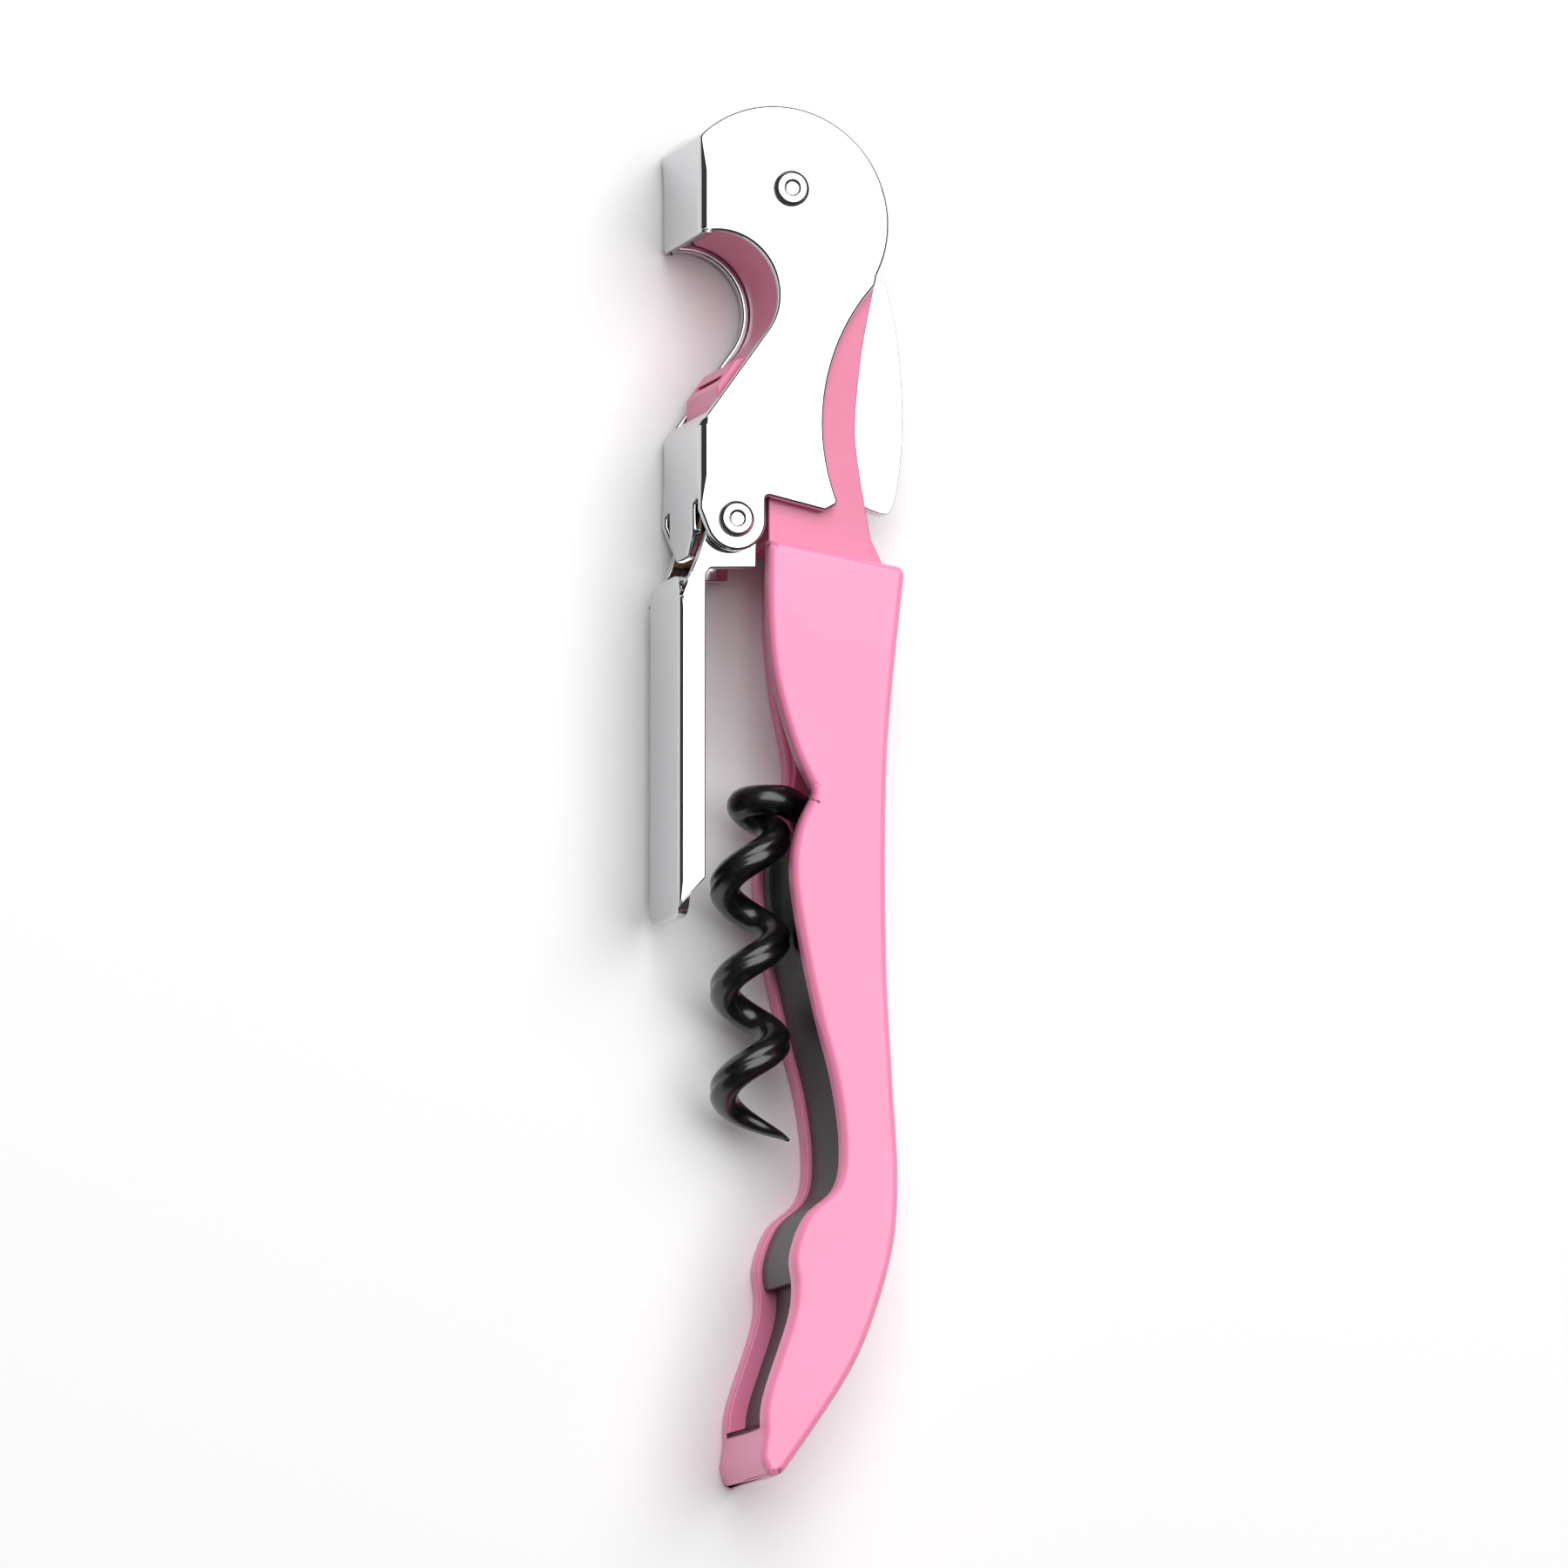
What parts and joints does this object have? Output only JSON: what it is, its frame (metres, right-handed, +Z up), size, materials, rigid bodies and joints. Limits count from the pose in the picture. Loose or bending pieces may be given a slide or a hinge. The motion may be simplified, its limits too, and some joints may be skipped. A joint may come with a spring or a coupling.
{
  "type": "lever corkscrew",
  "caption": "Folding corkscrew with a curved channel grip, a hinged two-stage lever with a cap lifter, a swinging helical worm and a serrated foil knife.",
  "frame": {"origin": "On the resting face, straight below the worm's pivot.", "axes": "+Y along the tool towards its head, +Z up from the resting face through the thickness, -X towards the levers and the worm."},
  "size_m": [0.0216, 0.1205, 0.0134],
  "materials": {
    "grip": "moulded, semi-gloss",
    "frame_paint": "powder coat, semi-gloss",
    "cradle": "moulded, matt",
    "pin_steel": "turned",
    "spacer_plastic": "moulded, matt",
    "coated_wire": "smooth non-stick coat",
    "lever_chrome": "polished",
    "rivet_chrome": "polished",
    "bush_brass": "turned",
    "blade_steel": "ground and satin"
  },
  "bodies": {
    "grip": {"grip_shell": "grip", "neck_frame": "frame_paint", "worm_cradle": "cradle", "worm_pin": "pin_steel", "worm_collar_upper": "spacer_plastic", "worm_collar_lower": "spacer_plastic", "knife_spacer_upper": "spacer_plastic", "knife_spacer_lower": "spacer_plastic"},
    "lever": {"upper_lever": "lever_chrome", "head_rivet": "rivet_chrome", "hinge_rivet": "rivet_chrome", "head_washer_upper": "spacer_plastic", "head_washer_lower": "spacer_plastic", "hinge_washer_upper": "bush_brass", "hinge_washer_lower": "bush_brass"},
    "link": {"lower_lever": "lever_chrome", "hinge_bush": "bush_brass"},
    "worm": {"worm": "coated_wire"},
    "knife": {"foil_knife": "blade_steel"}
  },
  "joints": [
    {"name": "lever_pivot", "type": "hinge", "parent": "grip", "child": "lever", "pos_m": [-0.00478, 0.05405, 0.0067], "axis": [0, 0, -1], "range_deg": [0, 180]},
    {"name": "link_hinge", "type": "hinge", "parent": "lever", "child": "link", "pos_m": [-0.00978, 0.0246, 0.0067], "axis": [0, 0, -1], "range_deg": [0, 60]},
    {"name": "worm_pivot", "type": "hinge", "parent": "grip", "child": "worm", "pos_m": [0, 0, 0.0067], "axis": [0, 0, -1], "range_deg": [0, 90]},
    {"name": "knife_pivot", "type": "hinge", "parent": "grip", "child": "knife", "pos_m": [-0.00478, 0.05405, 0.0067], "axis": [0, 0, 1], "range_deg": [0, 180]}
  ],
  "couplings": [
    {"joint": "worm_pivot", "follows": "lever_pivot", "ratio": 0.5}
  ]
}
